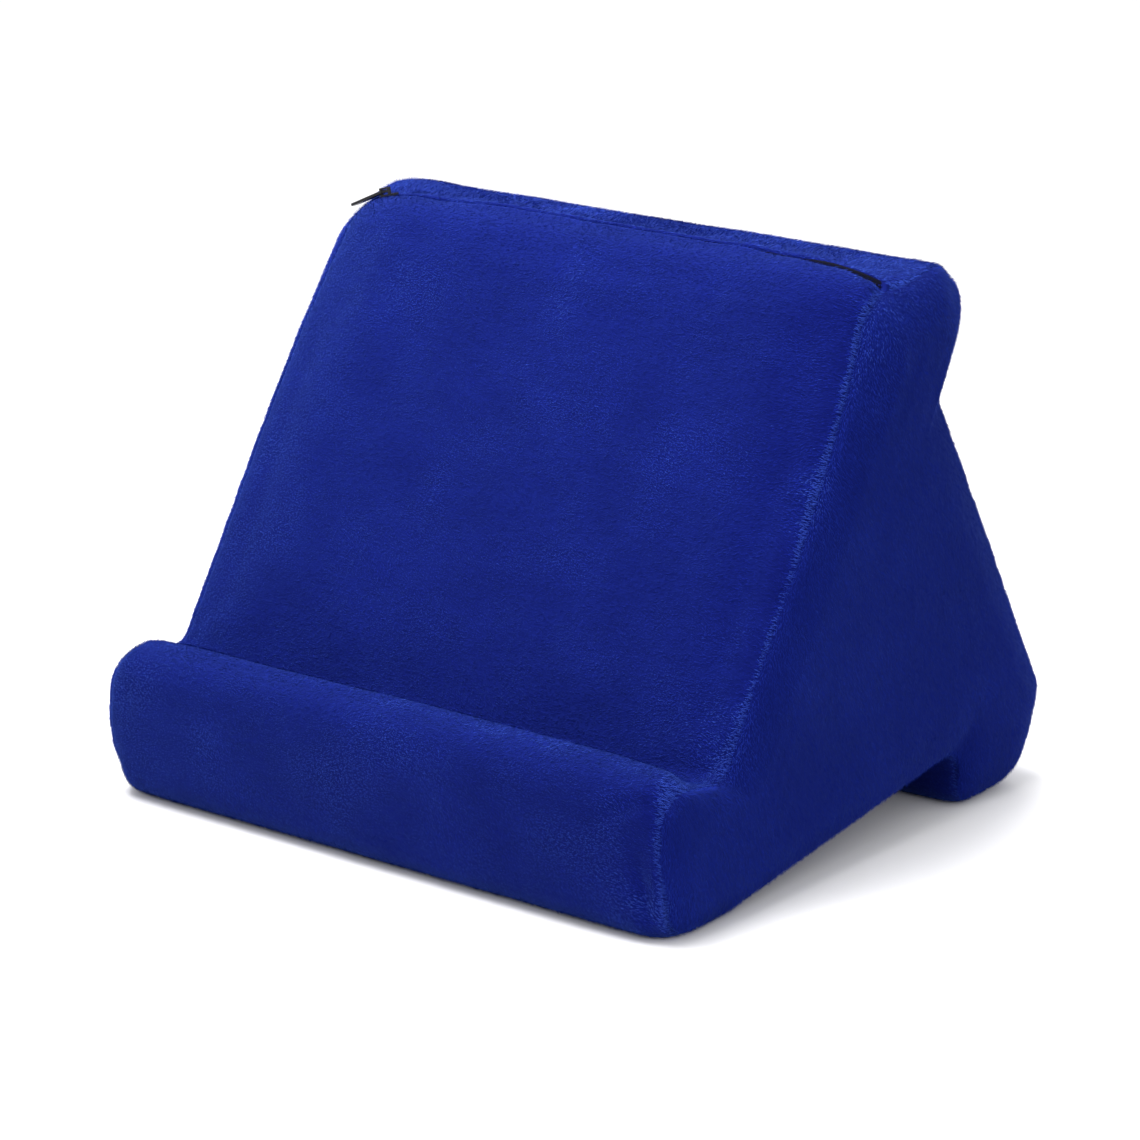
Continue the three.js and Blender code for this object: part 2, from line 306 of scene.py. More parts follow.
def strip(stations, across):
    """The strip: from the seam's outline to the foam's outline along x, with a broad and
    a tight roll, and sunk at the end seams and at the zip."""
    side, inside = np.sign(across), SEAM - np.abs(across)
    broad = ease(inside, BROAD_REACH)
    tight = ease(np.maximum(inside - TURNED, 0), TIGHT_REACH)
    full = (broad + (tight - broad) * TIGHT[stations])[..., None]
    yz = END[stations, None] + (MIDDLE - END)[stations, None] * full
    edge = fold(inside, SEAM_REACH)
    x = across - side * (DRAWN[stations] * (1 - broad) + SEAM_SINK * edge)
    bottom = np.maximum(from_zip(stations)[:, None] - zip_gap(across), 0)
    sink = SEAM_SINK * edge + ZIP_SINK * fold(bottom, ZIP_REACH) * ease(inside, ZIP_STOPS)
    sink = sink - fuller(side, stations, inside)
    return place(x, yz - OUT[stations, None] * sink[..., None])


def panel(side, stations, share):
    """An end panel: rings that shrink from the seam's outline towards the core, while x
    rises quickly at first and then comes in level."""
    inwards = (CORE - END)[stations, None] * (share * CORE_SHARE)[:, None]
    far_in = np.linalg.norm(inwards, axis=-1)
    edge = fold(far_in, SEAM_REACH)
    sink = SEAM_SINK * edge - fuller(side, stations, far_in)
    yz = END[stations, None] + inwards - OUT[stations, None] * sink[..., None]
    rise = CROWN * ease(share, 1)
    x = SEAM - DRAWN[stations] * (1 - share) ** 2 + rise - SEAM_SINK * edge
    return place(side * x, yz)


def stations_at(lengths):
    """The samples nearest to these lengths round the foam."""
    return np.unique(np.searchsorted(ALONG, np.asarray(lengths) % ROUND).clip(0, len(ALONG) - 1))


BY_ZIP = np.array([0, 0.4, 0.8, 1.2, 1.6, 2.0, 2.5, 3.1, 3.9, 5.0, 6.5])
FINE = 2.3  # between stations away from the zip
STATIONS = stations_at(
    np.concatenate([BY_ZIP, np.arange(8.5, ROUND - 8, FINE), ROUND - BY_ZIP[1:]])
)
BY_SEAM = np.array([0, 0.5, 1.0, 1.6, 2.2, 3.0, 4.0, 5.2, 6.6, 8.2, 10, 12])
half_across = np.concatenate([np.linspace(0, SEAM - 12, 56), SEAM - BY_SEAM[-2::-1]])
ACROSS = np.concatenate([-half_across[:0:-1], half_across])
SHARES = np.array(
    [0, 0.012, 0.025, 0.04, 0.06, 0.085, 0.115, 0.15, 0.2, 0.26, 0.33, 0.41, 0.5]
    + [0.6, 0.7, 0.8, 0.9, 1]
)
print(f"strip grid {len(STATIONS)} by {len(ACROSS)}, panel rings {len(SHARES)}")

# %% [markdown]
# ## Letting the cover swell
#
# Foam pushes a cover out between its seams. That is worked out with a cloth simulation
# rather than by hand, because the cloth finds for itself how it bridges the gutter and
# the waist. A coarse closed body starts a little smaller than the stand, its seams and
# the soles it stands on are held, and pressure swells it for twenty frames. How far each
# point moved is then carried over to the fine surfaces.

# %% Helpers for meshes
def grid_faces(rows, columns, closed):
    """Quads of a grid of points, row by row, with the last row joined to the first if
    closed is true. They face the way that rows cross columns."""
    row = np.arange(rows if closed else rows - 1)[:, None]
    column = np.arange(columns - 1)[None]
    below = (row + 1) % rows
    corners = [(row, column), (below, column), (below, column + 1), (row, column + 1)]
    return np.stack([(r * columns + c).ravel() for r, c in corners], axis=1)


def fill(ring, spacing):
    """Fills a flat closed ring of (y, z) with triangles about the given size. Returns the
    new points and the triangles, which count the ring's points first."""
    low, high = ring.min(0), ring.max(0)
    y = np.arange(low[0], high[0], spacing)
    z = np.arange(low[1], high[1], spacing * 0.87)
    grid = np.stack(np.meshgrid(y, z), -1)
    grid[1::2, :, 0] += spacing / 2
    points = grid.reshape(-1, 2)
    after = np.roll(ring, -1, 0)
    crosses = (ring[:, 1] > points[:, None, 1]) != (after[:, 1] > points[:, None, 1])
    rise = np.where(ring[:, 1] == after[:, 1], 1, after[:, 1] - ring[:, 1])
    at = ring[:, 0] + (points[:, None, 1] - ring[:, 1]) / rise * (after - ring)[:, 0]
    inside = (crosses & (points[:, None, 0] < at)).sum(1) % 2 == 1
    room = np.linalg.norm(points[:, None] - ring, axis=-1).min(1) > spacing * 0.6
    points = points[inside & room]
    flat = np.concatenate([ring, points]).tolist()
    _, _, triangles, *_ = delaunay_2d_cdt(flat, [], [list(range(len(ring)))], 1, 1e-6)
    return points, np.array(triangles)


def make(name, points, *faces):
    """A mesh object from points in millimetres and arrays of quads or triangles."""
    mesh = bpy.data.meshes.new(name)
    listed = [face for group in faces for face in group.tolist()]
    mesh.from_pydata((points.reshape(-1, 3) * MM).tolist(), [], listed)
    mesh.shade_smooth()
    made = bpy.data.objects.new(name, mesh)
    bpy.context.scene.collection.objects.link(made)
    return made


def read_points(mesh):
    """A mesh's points in millimetres."""
    flat = np.empty(len(mesh.vertices) * 3)
    mesh.vertices.foreach_get("co", flat)
    return flat.reshape(-1, 3) / MM


def unit(vectors):
    """Vectors made one long."""
    return vectors / np.maximum(np.linalg.norm(vectors, axis=-1, keepdims=True), 1e-9)


def grid_normals(points):
    """Outward directions of a strip grid, from its slopes along rows and columns."""
    down = np.roll(points, -1, 0) - np.roll(points, 1, 0)
    return unit(np.cross(down, np.gradient(points, axis=1)))


# %% Swell a coarse body
COARSE = 6.5  # between stations of the coarse body
COARSE_FILL = 9.0  # between points in the flat middle of its end panels
START_SMALLER = 0.3
PRESSURE = 4.0
FRAMES = 20
SWELL_CAP = 1.5  # no place rises more than this
SOLE = 1.0  # cloth lower than this rests on the table

coarse_stations = stations_at(np.arange(0, ROUND - COARSE / 2, COARSE))
coarse_half = np.concatenate([np.linspace(0, SEAM - 12, 20), SEAM - np.array([7, 3, 0])])
coarse_across = np.concatenate([-coarse_half[:0:-1], coarse_half])
coarse_shares = np.array([0.06, 0.15, 0.3, 0.5, 0.75, 1])


def coarse_body(smaller):
    """The strip, the rings of both panels and their flat middles as one closed body, set
    back by so much between the seams. Returns its points, the way each one would be
    pushed, its faces and which points are held."""
    points = strip(coarse_stations, coarse_across)
    rows, columns = points.shape[:2]
    push = grid_normals(points)
    slack = smaller * (1 - np.exp(-(SEAM - np.abs(coarse_across)) / 12))
    resting = points[..., 2] < SOLE
    set_back = points - push * np.where(resting, 0, slack)[..., None]
    held = np.broadcast_to(np.abs(coarse_across) == SEAM, (rows, columns)) | resting
    parts, faces = [set_back.reshape(-1, 3)], [grid_faces(rows, columns, True)]
    pushes = [push.reshape(-1, 3)]
    total = rows * columns
    for side, seam_column in ((-1, 0), (1, columns - 1)):
        rings = panel(side, coarse_stations, coarse_shares)
        rings[..., 0] -= side * smaller * ease(coarse_shares, 0.3)
        index = total + np.arange(rings[..., 0].size).reshape(rows, -1)
        seam = np.arange(rows)[:, None] * columns + seam_column
        index = np.concatenate([seam, index], axis=1)
        quads = index.ravel()[grid_faces(rows, index.shape[1], True)]
        middle, triangles = fill(rings[:, -1, 1:], COARSE_FILL)
        total += rings[..., 0].size
        numbers = np.concatenate([index[:, -1], total + np.arange(len(middle))])
        total += len(middle)
        x = np.full(len(middle), rings[0, -1, 0])
        parts += [rings.reshape(-1, 3), np.column_stack([x, middle])]
        pushes.append(np.tile([side, 0, 0], (len(parts[-2]) + len(middle), 1)))
        flip = slice(None, None, side)
        faces += [quads[:, flip], numbers[triangles][:, flip]]
    held = np.concatenate([held.ravel(), np.zeros(total - held.size, bool)])
    return np.concatenate(parts), np.concatenate(pushes), faces, held


def swell(points, faces, held):
    """Where the points end after the cloth has been under pressure."""
    body = make("swelling", points, *faces)
    group = body.vertex_groups.new(name="held")
    group.add(np.nonzero(held)[0].tolist(), 1.0, "REPLACE")
    cloth = body.modifiers.new("cloth", "CLOTH")
    settings = cloth.settings
    settings.quality = 6
    settings.vertex_group_mass = "held"
    settings.use_pressure = True
    settings.uniform_pressure_force = PRESSURE
    settings.effector_weights.gravity = 0
    cloth.point_cache.frame_end = FRAMES
    for number in range(1, FRAMES + 1):
        bpy.context.scene.frame_set(number)
    shaped = body.evaluated_get(bpy.context.evaluated_depsgraph_get())
    ended = read_points(shaped.data)
    bpy.data.objects.remove(body)
    bpy.context.scene.frame_set(1)
    return ended


unswollen, push, coarse_faces, coarse_held = coarse_body(0)
change = np.zeros_like(unswollen)
start = coarse_body(START_SMALLER)[0]
moved = swell(start, coarse_faces, coarse_held) - start
risen = np.maximum((moved * push).sum(1), 0)  # the foam stops it from sinking in
capped = SWELL_CAP * np.tanh(risen / SWELL_CAP)
change = start - unswollen + push * capped[:, None]
print(f"{len(moved)} points rose by {np.median(risen):.1f} mm before the cap")


# %% Carry the swelling over to the fine surfaces
def between(at, knots, values):
    """Values between knots along the first axis: cubic pieces that meet with the slope
    that the neighbouring knots give."""
    slopes = np.gradient(values, knots, axis=0)
    k = np.clip(np.searchsorted(knots, at, side="right") - 1, 0, len(knots) - 2)
    shape = (-1,) + (1,) * (values.ndim - 1)
    gap = (knots[k + 1] - knots[k]).reshape(shape)
    t = (at - knots[k]).reshape(shape) / gap
    ahead = t * t * (3 - 2 * t)
    leaving, arriving = t * (1 - t) ** 2 * gap, t * t * (t - 1) * gap
    return (
        values[k] * (1 - ahead)
        + values[k + 1] * ahead
        + slopes[k] * leaving
        + slopes[k + 1] * arriving
    )


def round_and_across(values, across_knots, across):
    """A coarse grid of values, as a grid of the fine stations and the given columns."""
    wrap = 3
    knots = ALONG[coarse_stations]
    knots = np.concatenate([knots[-wrap:] - ROUND, knots, knots[:wrap] + ROUND])
    values = np.concatenate([values[-wrap:], values, values[:wrap]])
    rows = between(ALONG[STATIONS], knots, values)
    return between(across, across_knots, rows.swapaxes(0, 1)).swapaxes(0, 1)


def near_average(at, points, values):
    """Values at new points: an average that counts the nearest points most."""
    weight = 1 / (np.linalg.norm(at[:, None] - points, axis=-1) ** 3 + 1e-3)
    return weight @ values / weight.sum(1, keepdims=True)


rows, columns = len(coarse_stations), len(coarse_across)
strip_change = round_and_across(
    change[: rows * columns].reshape(rows, columns, 3), coarse_across, ACROSS
)
panel_changes = np.split(change[rows * columns :], 2)

# %% [markdown]
# ## Small unevenness
#
# No cover lies quite smooth. Foam is a little uneven, cloth puckers where it is sewn to
# a shorter edge, and a zip is stiffer than plush, so the plush ripples beside it. All of
# these are smooth random numbers, stretched to the size of the fold and fading away from
# the seam.


# %% Smooth random numbers
def soft_noise(points, size, seed):
    """Smooth random numbers from -1 to 1: a random value at each corner of a cubic grid
    of the given size, blended in between by a curve that is level at both ends."""
    values = np.random.default_rng(seed).uniform(-1, 1, 4096)
    scaled = points / size
    cell = np.floor(scaled).astype(np.int64)
    share = scaled - cell
    share = share * share * (3 - 2 * share)
    total = np.zeros(points.shape[:-1])
    for corner in itertools.product((0, 1), repeat=3):
        steps = (cell + corner) * (73856093, 19349663, 83492791)
        key = np.bitwise_xor.reduce(steps, axis=-1) % len(values)
        weight = np.where(np.array(corner, bool), share, 1 - share).prod(-1)
        total += values[key] * weight
    return total


def uneven(points):
    """Foam that is a little uneven: two sizes of soft hills."""
    return 0.5 * soft_noise(points, 62, 1) + 0.22 * soft_noise(points, 23, 2)


def puckers(along, inside, side):
    """Small folds square to a seam, strongest just beside it."""
    at = np.stack(np.broadcast_arrays(along, inside * 0.22, side * 90.0), -1)
    fade = np.exp(-inside / 8) * ease(inside, 3)
    return fade * (0.42 * soft_noise(at, 6.0, 3) + 0.3 * soft_noise(at, 11.0, 4))


def zip_ripples(x, off):
    """Ripples along the zip, fading over a finger's width."""
    at = np.stack(np.broadcast_arrays(x, off * 0.4, 0), -1)
    return 0.4 * soft_noise(at, 13.0, 5) * np.exp(-off / 9) * ease(off, 3)


# Single folds that the photograph shows on the strip. Columns: name, x, how far round the
# foam, the way it runs (0 is across the width, 90 is round the foam), half its length, half
# its width, height (a hollow is less than 0)
FOLDS = [
    ("right end of the lip, ridge", 138.3, 308, 92, 15, 1.9, 1.9),
    ("right end of the lip, hollow", 132.5, 301, 86, 15, 3.4, -1.9),
    ("under the lip's corner", 128, 268, 152, 16, 3.6, -1.4),
    ("end of the zip, dimple", 139.0, 5, 90, 3.5, 2.4, -1.3),
    ("end of the zip, ridge", 133.5, 8, 75, 7, 2.2, 0.8),
    ("left of the gutter", -120, 226, 8, 30, 5, -0.6),
    ("left end of the crest", -121, 886, 0, 13, 20, 1.2),
    ("right end of the crest", 124, 861, 0, 15, 10, 0.8),
]


def folds(x, along):
    """The single folds added up, each a soft long hill or hollow."""
    total = 0
    for _, at, start, runs, long, wide, height in FOLDS:
        run = np.radians(runs)
        right, on = x - at, (along - start + ROUND / 2) % ROUND - ROUND / 2
        length = right * np.cos(run) + on * np.sin(run)
        width = on * np.cos(run) - right * np.sin(run)
        total = total + height * np.exp(-((length / long) ** 2) - (width / wide) ** 2)
    return total


# %% The fine surfaces
FINE_FILL = 3.6  # between points in the flat middle of an end panel
NOWHERE = 99.0  # stands for a place far in from the seam


def strip_surface():
    """The swollen and uneven strip, and its outward directions."""
    points = strip(STATIONS, ACROSS) + strip_change
    inside = SEAM - np.abs(ACROSS)
    off = from_zip(STATIONS)[:, None]
    normals = grid_normals(points)
    raised = uneven(points) * ease(inside, 20)
    raised = raised + puckers(ALONG[STATIONS, None], inside, np.sign(ACROSS))
    raised += zip_ripples(ACROSS, off) * ease(inside, 3)
    raised += folds(ACROSS, ALONG[STATIONS, None]) * ease(inside, 2.5)
    level = np.clip(points[..., 2] / 3, 0, 1)  # the soles stay flat
    lift = raised - BARE * ease(inside, 2)
    points = points + normals * (lift * level)[..., None]
    points[..., 2] = np.maximum(points[..., 2], 0.1)
    return points, grid_normals(points)


def panel_surface(side, change):
    """A swollen and uneven end panel: its rings, then the points of its flat middle, its
    faces, and how far in from the seam and how far round each point is."""
    plain = panel(side, STATIONS, SHARES)
    coarse = panel(side, coarse_stations, coarse_shares)
    size = len(coarse_stations), len(coarse_shares)
    ring_change = change[: size[0] * size[1]].reshape(*size, 3)
    still = np.zeros((size[0], 1, 3))
    knots = np.concatenate([[0], coarse_shares])
    ring_change = np.concatenate([still, ring_change], axis=1)
    rings = plain + round_and_across(ring_change, knots, SHARES)
    middle, triangles = fill(plain[:, -1, 1:], FINE_FILL)
    fill_yz, _ = fill(coarse[:, -1, 1:], COARSE_FILL)
    spots = np.concatenate([coarse[..., 1:].reshape(-1, 2), fill_yz])
    x = np.full(len(middle), side * (SEAM + CROWN))
    middle = np.column_stack([x, middle]) + near_average(middle, spots, change)
    inwards = np.linalg.norm((CORE - END)[STATIONS], axis=-1)[:, None] * SHARES * CORE_SHARE
    rings[..., 0] += side * puckers(ALONG[STATIONS, None], inwards, side)
    rings[..., 0] += side * (uneven(rings) * ease(inwards, 20) - BARE * ease(inwards, 2))
    middle[:, 0] += side * (uneven(middle) - BARE)
    points = np.concatenate([rings.reshape(-1, 3), middle])
    index = np.arange(rings[..., 0].size).reshape(len(STATIONS), -1)
    numbers = np.concatenate([index[:, -1], index.size + np.arange(len(middle))])
    flip = slice(None, None, side)
    quads = grid_faces(*index.shape, True)[:, flip]
    where = np.full((len(points), 2), NOWHERE)
    where[: index.size, 0] = inwards.ravel()
    where[: index.size, 1] = np.repeat(ALONG[STATIONS], len(SHARES))
    return points, quads, numbers[triangles][:, flip], where


strip_points, strip_normals = strip_surface()
print("strip from", strip_points.min((0, 1)).round(1), "to", strip_points.max((0, 1)).round(1))

# %% Build the cushion and its end panels
CAP_DEPTH = 6.0  # the hidden ends of the strip lie this far behind the seam
CAP_FILL = 30.0
SKIN = 1.1  # an end panel's cloth


def closed_strip(points):
    """The strip with both ends closed just behind the end panels, where nothing shows."""
    rows, columns = points.shape[:2]
    parts, faces = [points.reshape(-1, 3)], [grid_faces(rows, columns, True)]
    total = rows * columns
    for side, column in ((-1, 0), (1, columns - 1)):
        inner, triangles = fill(points[:, column, 1:], CAP_FILL)
        seam = np.arange(rows) * columns + column
        numbers = np.concatenate([seam, total + np.arange(len(inner))])
        x = np.full(len(inner), side * (SEAM - CAP_DEPTH))
        parts.append(np.column_stack([x, inner]))
        faces.append(numbers[triangles][:, :: side])
        total += len(inner)
    return np.concatenate(parts), faces


def closed_skin(side, points, quads, triangles):
    """A panel with its back, one cloth's thickness behind its front, joined at the rim."""
    ring = np.arange(len(STATIONS)) * len(SHARES)
    after = np.roll(ring, -1)
    back = points - np.array([side * SKIN, 0, 0])
    rim = np.stack([ring, ring + len(points), after + len(points), after], axis=1)
    behind = [group[:, ::-1] + len(points) for group in (quads, triangles)]
    return np.concatenate([points, back]), [quads, triangles, *behind, rim[:, ::side]]


cushion_points, cushion_faces = closed_strip(strip_points)
cushion = make("cushion_cover", cushion_points, *cushion_faces)
panels, surfaces = {}, {}
for side, word in ((-1, "left"), (1, "right")):
    surfaces[side] = panel_surface(side, panel_changes[(side + 1) // 2])
    points, faces = closed_skin(side, *surfaces[side][:3])
    panels[side] = make(f"end_panel_{word}_cover", points, *faces)
for piece in (cushion, *panels.values()):
    print(piece.name, len(piece.data.vertices), "points", len(piece.data.polygons), "faces")

# %% [markdown]
# ## The plush
#
# Short plush is a dense pile that lies over to one side. It is matt and deep in colour
# seen from above, and paler where it is seen along the pile, at the edges and over the
# seams. Patches that a hand has brushed the other way are lighter or darker. The colour,
# roughness and height of the pile come from one node group, which each plush material
# uses with its own values. The sheen belongs to the shader.


# %% A node group for the pile
def new_group(name, inputs, outputs):
    """An empty node group with named sockets, and its input and output nodes."""
    group = bpy.data.node_groups.new(name, "ShaderNodeTree")
    for label, kind, default in inputs:
        socket = group.interface.new_socket(label, in_out="INPUT", socket_type=kind)
        if default is not None:
            socket.default_value = default
    for label, kind in outputs:
        group.interface.new_socket(label, in_out="OUTPUT", socket_type=kind)
    return group, group.nodes.new("NodeGroupInput"), group.nodes.new("NodeGroupOutput")


def add(tree, kind, **settings):
    """A node with its properties set."""
    node = tree.nodes.new(kind)
    for key, value in settings.items():
        setattr(node, key, value)
    return node


def noise(tree, vector, scale, detail=2.0, distortion=0.0):
    """The value of a noise texture, around 0.5, at a scale per metre."""
    node = add(tree, "ShaderNodeTexNoise")
    node.inputs["Scale"].default_value = scale
    node.inputs["Detail"].default_value = detail
    node.inputs["Distortion"].default_value = distortion
    tree.links.new(vector, node.inputs["Vector"])
    return node.outputs["Fac"]


def calc(tree, operation, *values, clamp=False):
    """A Math node on sockets or plain numbers."""
    node = add(tree, "ShaderNodeMath", operation=operation, use_clamp=clamp)
    for socket, value in zip(node.inputs, values):
        if isinstance(value, (int, float)):
            socket.default_value = value
        else:
            tree.links.new(value, socket)
    return node.outputs[0]


def blend(tree, share, first, second):
    """A colour between two, by a share from 0 to 1."""
    node = add(tree, "ShaderNodeMix", data_type="RGBA", clamp_factor=True)
    for name, value in (("Factor_Float", share), ("A_Color", first), ("B_Color", second)):
        socket = next(s for s in node.inputs if s.identifier == name)
        if isinstance(value, tuple):
            socket.default_value = value
        else:
            tree.links.new(value, socket)
    return next(s for s in node.outputs if s.identifier == "Result_Color")


def spread(tree, value, low, high):
    """A value stretched so that low gives 0 and high gives 1."""
    node = add(tree, "ShaderNodeMapRange", interpolation_type="SMOOTHSTEP")
    tree.links.new(value, node.inputs["Value"])
    node.inputs["From Min"].default_value = low
    node.inputs["From Max"].default_value = high
    return node.outputs["Result"]


def pile_group():
    """Colour, roughness and height of short pile. Nap is how much finer the marks are
    across the pile than along it, on each axis."""
    group, given, result = new_group(
        "plush pile",
        [
            ("Place", "NodeSocketVector", None),
            ("Nap", "NodeSocketVector", (1, 1, 1)),
            ("Deep", "NodeSocketColor", (0.01, 0.02, 0.2, 1)),
            ("Bright", "NodeSocketColor", (0.02, 0.05, 0.4, 1)),
            ("Brushed", "NodeSocketFloat", 0.5),
            ("Streaks", "NodeSocketFloat", 0.5),
        ],
        [
            ("Color", "NodeSocketColor"),
            ("Roughness", "NodeSocketFloat"),
            ("Height", "NodeSocketFloat"),
        ],
    )
    tree = group
    across = add(tree, "ShaderNodeVectorMath", operation="MULTIPLY")
    tree.links.new(given.outputs["Place"], across.inputs[0])
    tree.links.new(given.outputs["Nap"], across.inputs[1])
    place_out, nap = given.outputs["Place"], across.outputs[0]
    patches = spread(tree, noise(tree, place_out, 26, 2, 0.6), 0.34, 0.68)
    brushed = spread(tree, noise(tree, nap, 62, 3, 0.8), 0.36, 0.66)
    streaks = spread(tree, noise(tree, nap, 330, 2, 0.5), 0.36, 0.66)
    tips = noise(tree, nap, 900, 1, 0.2)
    wide = calc(tree, "MULTIPLY_ADD", patches, 0.6, calc(tree, "MULTIPLY", brushed, 0.4))
    soft = calc(tree, "MULTIPLY", calc(tree, "SUBTRACT", wide, 0.5), given.outputs["Brushed"])
    fine = calc(tree, "MULTIPLY_ADD", streaks, 0.65, calc(tree, "MULTIPLY", tips, 0.35))
    lines = calc(tree, "MULTIPLY", calc(tree, "SUBTRACT", fine, 0.5), given.outputs["Streaks"])
    share = calc(tree, "ADD", calc(tree, "ADD", soft, lines), 0.45, clamp=True)
    color = blend(tree, share, given.outputs["Deep"], given.outputs["Bright"])
    tree.links.new(color, result.inputs["Color"])
    tree.links.new(calc(tree, "MULTIPLY_ADD", share, -0.12, 0.92), result.inputs["Roughness"])
    height = calc(tree, "MULTIPLY_ADD", brushed, 0.5, fine)
    tree.links.new(height, result.inputs["Height"])
    return group


PILE = pile_group()


# %% The plush materials
def plush(name, nap, deep, bright, brushed, streaks, sheen, sheen_color, depth):
    """A plush material: the pile's colour and height, with a sheen for its tips."""
    material = bpy.data.materials.new(name)
    material.use_nodes = True
    tree = material.node_tree
    shader = tree.nodes["Principled BSDF"]
    pile = add(tree, "ShaderNodeGroup", node_tree=PILE)
    where = add(tree, "ShaderNodeTexCoord")
    tree.links.new(where.outputs["Object"], pile.inputs["Place"])
    for label, value in (
        ("Nap", nap),
        ("Deep", (*deep, 1)),
        ("Bright", (*bright, 1)),
        ("Brushed", brushed),
        ("Streaks", streaks),
    ):
        pile.inputs[label].default_value = value
    bump = add(tree, "ShaderNodeBump")
    bump.inputs["Strength"].default_value = 1.0
    bump.inputs["Distance"].default_value = depth
    tree.links.new(pile.outputs["Height"], bump.inputs["Height"])
    tree.links.new(bump.outputs["Normal"], shader.inputs["Normal"])
    tree.links.new(pile.outputs["Color"], shader.inputs["Base Color"])
    tree.links.new(pile.outputs["Roughness"], shader.inputs["Roughness"])
    shader.inputs["Sheen Weight"].default_value = sheen
    shader.inputs["Sheen Roughness"].default_value = 0.45
    shader.inputs["Sheen Tint"].default_value = (*sheen_color, 1)
    shader.inputs["Specular IOR Level"].default_value = 0.02
    return material


DEEP, BRIGHT = (0.0022, 0.0048, 0.070), (0.0034, 0.0078, 0.110)
SHEEN_BLUE = (0.11, 0.24, 1.0)
strip_plush = plush(
    "strip plush", (0.22, 1, 1), DEEP, BRIGHT, 0.35, 0.4, 0.3, SHEEN_BLUE, 0.0001
)
panel_plush = plush(
    "panel plush", (1, 1, 0.4), DEEP, BRIGHT, 0.25, 0.3, 0.2, SHEEN_BLUE, 0.0001
)
cushion.data.materials.append(strip_plush)
for piece in panels.values():
    piece.data.materials.append(panel_plush)


# %% The dark zip
def dark(name, color, roughness, shine):
    """Dark paint or nylon, faintly uneven in its gloss."""
    material = bpy.data.materials.new(name)
    material.use_nodes = True
    tree = material.node_tree
    shader = tree.nodes["Principled BSDF"]
    where = add(tree, "ShaderNodeTexCoord")
    worn = noise(tree, where.outputs["Object"], 700, 3, 0.3)
    color_out = blend(tree, worn, tuple(0.6 * c for c in color) + (1,), (*color, 1))
    tree.links.new(color_out, shader.inputs["Base Color"])
    gloss = calc(tree, "MULTIPLY_ADD", worn, 0.25, roughness - 0.12)
    tree.links.new(gloss, shader.inputs["Roughness"])
    shader.inputs["Specular IOR Level"].default_value = shine
    return material


nylon = dark("zip nylon", (0.0025, 0.003, 0.010), 0.75, 0.03)
painted = dark("zip slider paint", (0.005, 0.005, 0.007), 0.4, 0.25)
for node, material in (("zip_chain", nylon), ("zip_slider", painted), ("zip_pull", painted)):
    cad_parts[node].data.materials.clear()
    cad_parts[node].data.materials.append(material)

# %% The coil and tape at the bottom of the seam, and painted shade on its wall
ZIP_ENDS = (-125.0, 129.0)
COIL_RADIUS, COIL_PITCH, WIRE = 0.85, 1.5, 0.3
PER_TURN, WIRE_SIDES = 9, 5
TAPE_POINTS = 120


def zip_line(x, above):
    """Points along the bottom of the zip's seam, so far above it."""
    y, z = (np.interp(x, strip_points[0, :, 0], strip_points[0, :, axis]) for axis in (1, 2))
    return np.stack(np.broadcast_arrays(x, y + OUT[0, 0] * above, z + OUT[0, 1] * above), -1)


def capped_tube(rings):
    """A closed tube from rings of points: each row runs along the tube. The ends are fans
    round their middle points."""
    sides, count = rings.shape[:2]
    points = np.concatenate([rings.reshape(-1, 3), rings[:, [0, -1]].mean(0)])
    row = np.arange(sides)
    after = (row + 1) % sides
    first = np.stack([np.full(sides, sides * count), row * count, after * count], 1)
    tip = np.full(sides, sides * count + 1)
    last = np.stack([tip, (after + 1) * count - 1, (row + 1) * count - 1], 1)
    return points, grid_faces(sides, count, True), np.concatenate([first, last])


turns = (ZIP_ENDS[1] - ZIP_ENDS[0]) / COIL_PITCH
phase = np.linspace(0, 2 * np.pi * turns, int(turns * PER_TURN))
x = np.linspace(*ZIP_ENDS, len(phase))
out = np.array([0, *OUT[0]])
cross = np.array([0, -OUT[0, 1], OUT[0, 0]])
spoke = out * np.cos(phase)[:, None] + cross * np.sin(phase)[:, None]
centre = zip_line(x, 0.1) + spoke * COIL_RADIUS
forward = unit(np.gradient(centre, axis=0))
spin = np.linspace(0, 2 * np.pi, WIRE_SIDES, endpoint=False)[:, None, None]
wire = centre + WIRE * (spoke * np.cos(spin) + np.cross(forward, spoke) * np.sin(spin))
coil = make("zip_coil", *capped_tube(wire))
# The tape lies on the floor of the seam and goes up its wall on the side of the crest;
# the part up the wall is a dark sheet that stands for painted shade in the narrow seam.
# Columns: side, how far past the edge of the floor, how high above it
TAPE_FRONT = [(-1, 1.5, 1.95), (-1, 1.0, 1.6), (-1, 0.5, 1.0), (-1, 0, 0.12), (1, 0, 0.12)]
TAPE_BACK = [(1, 0, -0.3), (-1, 0, -0.3), (-1, 0.5, 0.4), (-1, 1.0, 0.9), (-1, 1.5, 1.3)]
x = np.linspace(*ZIP_ENDS, TAPE_POINTS)
deep = ease(SEAM - np.abs(x), ZIP_STOPS) * (0.45 + 0.55 * zip_opened(x) ** 0.5)
tape_rows = []
for side, past, above in TAPE_FRONT + TAPE_BACK:
    aside = side * (zip_gap(x) + past)[:, None]
    tape_rows.append(zip_line(x, above * deep) + cross * aside)
tape = make("zip_tape_and_painted_shade", *capped_tube(np.stack(tape_rows)[::-1]))
for piece in (coil, tape):
    piece.data.materials.append(nylon)
    print(piece.name, len(piece.data.polygons), "faces")
